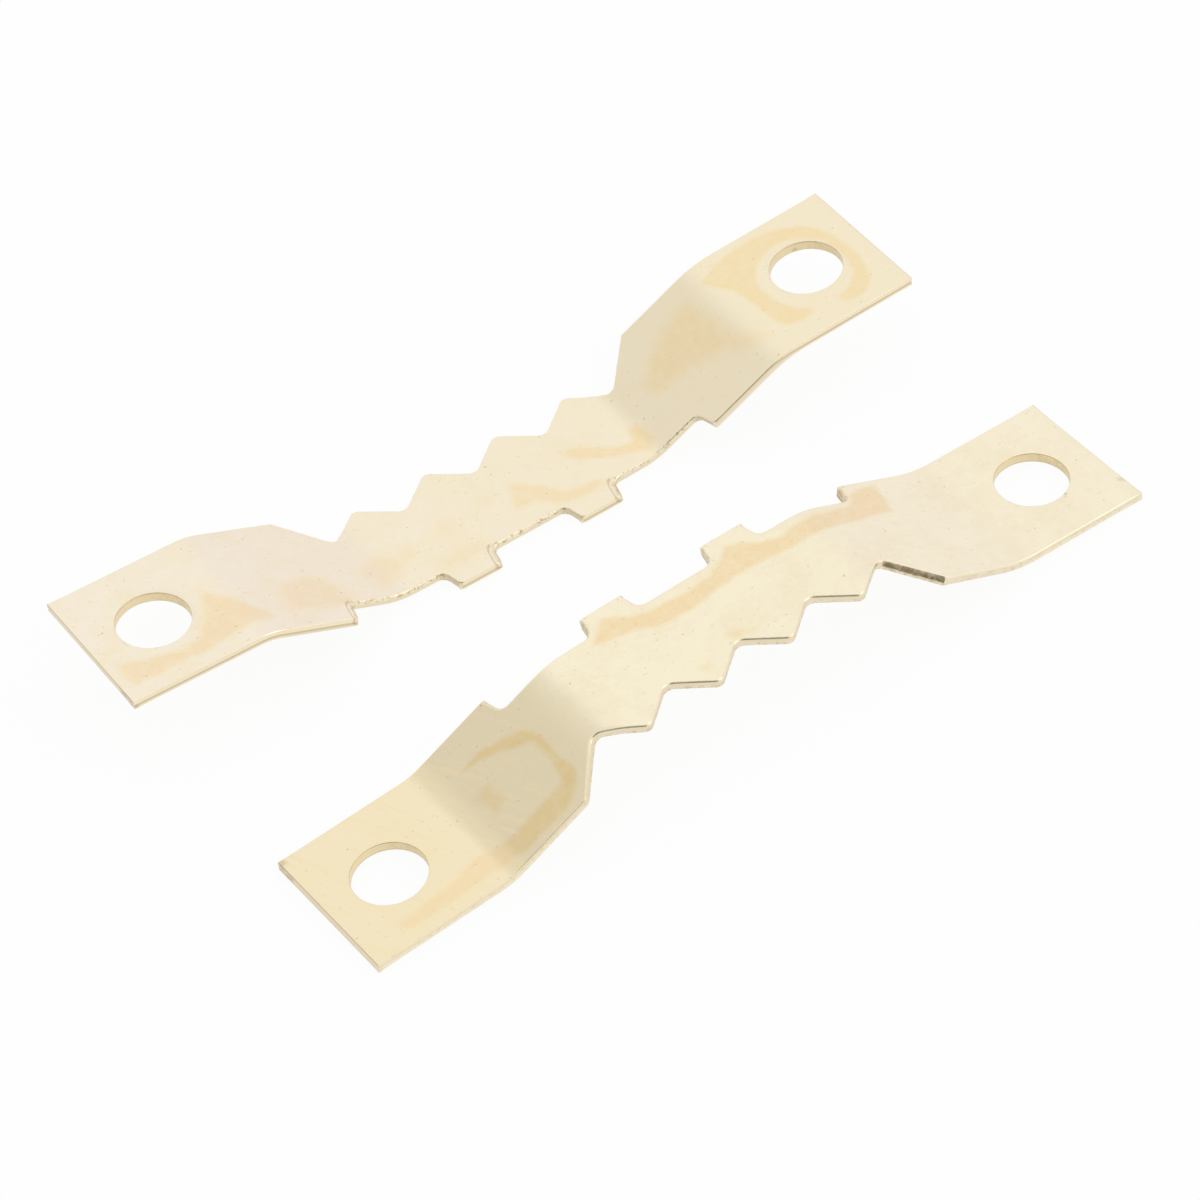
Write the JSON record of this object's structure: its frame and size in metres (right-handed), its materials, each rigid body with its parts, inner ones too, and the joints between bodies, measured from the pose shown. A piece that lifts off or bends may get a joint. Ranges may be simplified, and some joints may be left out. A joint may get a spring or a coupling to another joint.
{
  "type": "sawtooth picture hanger",
  "caption": "Bent sheet-metal picture hanger with screw tabs, a raised saddle, a saw-toothed edge that sits on a nail and a notched edge opposite, shown as a loose pair.",
  "frame": {"origin": "on the mounting plane of the hanger that lies face up, midway between its two screw holes", "axes": "+X along that hanger's strip, -Y towards its toothed edge, +Z out of the picture frame, towards the wall"},
  "size_m": [0.046, 0.026, 0.0043],
  "materials": {
    "brass_plate": "bright plated, lightly tumbled"
  },
  "bodies": {
    "face_up": {"hanger_face_up": "brass_plate"},
    "face_down": {"hanger_face_down": "brass_plate"}
  },
  "joints": [
    {"name": "lift_off", "type": "slide", "parent": "face_up", "child": "face_down", "axis": [0, 0, 1], "range_m": [0, 0.03]}
  ]
}
